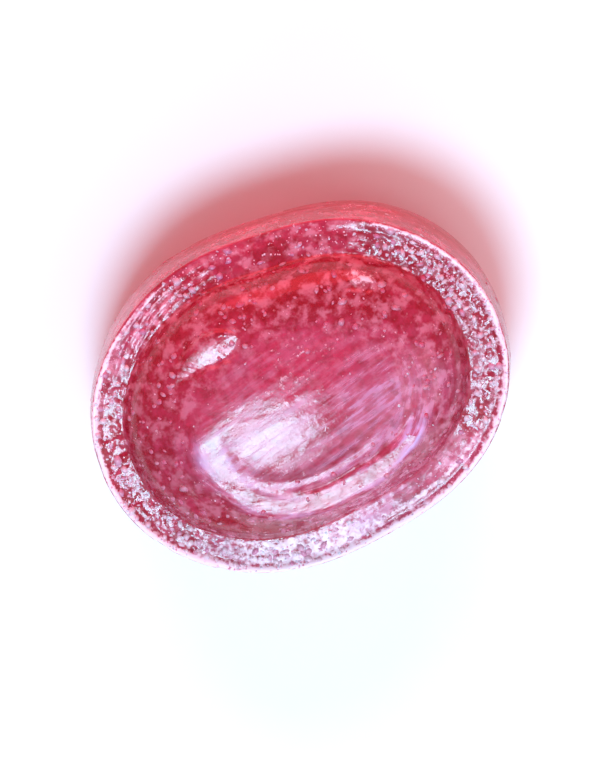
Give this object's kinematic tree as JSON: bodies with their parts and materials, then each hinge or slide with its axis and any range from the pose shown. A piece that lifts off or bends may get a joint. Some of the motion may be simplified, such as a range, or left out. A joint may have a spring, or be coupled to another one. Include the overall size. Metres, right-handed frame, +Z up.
{
  "type": "fruit candy",
  "caption": "Oval boiled fruit sweet: a band round the edge, a thin lip and flat brim, and on both faces a low dome with a shelf and a fine ring pressed along one side.",
  "frame": {"origin": "middle of the sweet's box, on the small flat spot that it rests on", "axes": "+X along the sweet's long axis, +Y across it, +Z up through both domes"},
  "size_m": [0.02, 0.016, 0.0096],
  "materials": {
    "boiled_sugar": "clear crimson-magenta boiled sugar, polished in the middle of each face and frosted with sugar dust on the brim",
    "sugar_dust": "fine pale sugar grains and dust that cling to the brim, the crease and the scuffs"
  },
  "bodies": {
    "root": {"fruit_sweet": "boiled_sugar"}
  },
  "joints": []
}
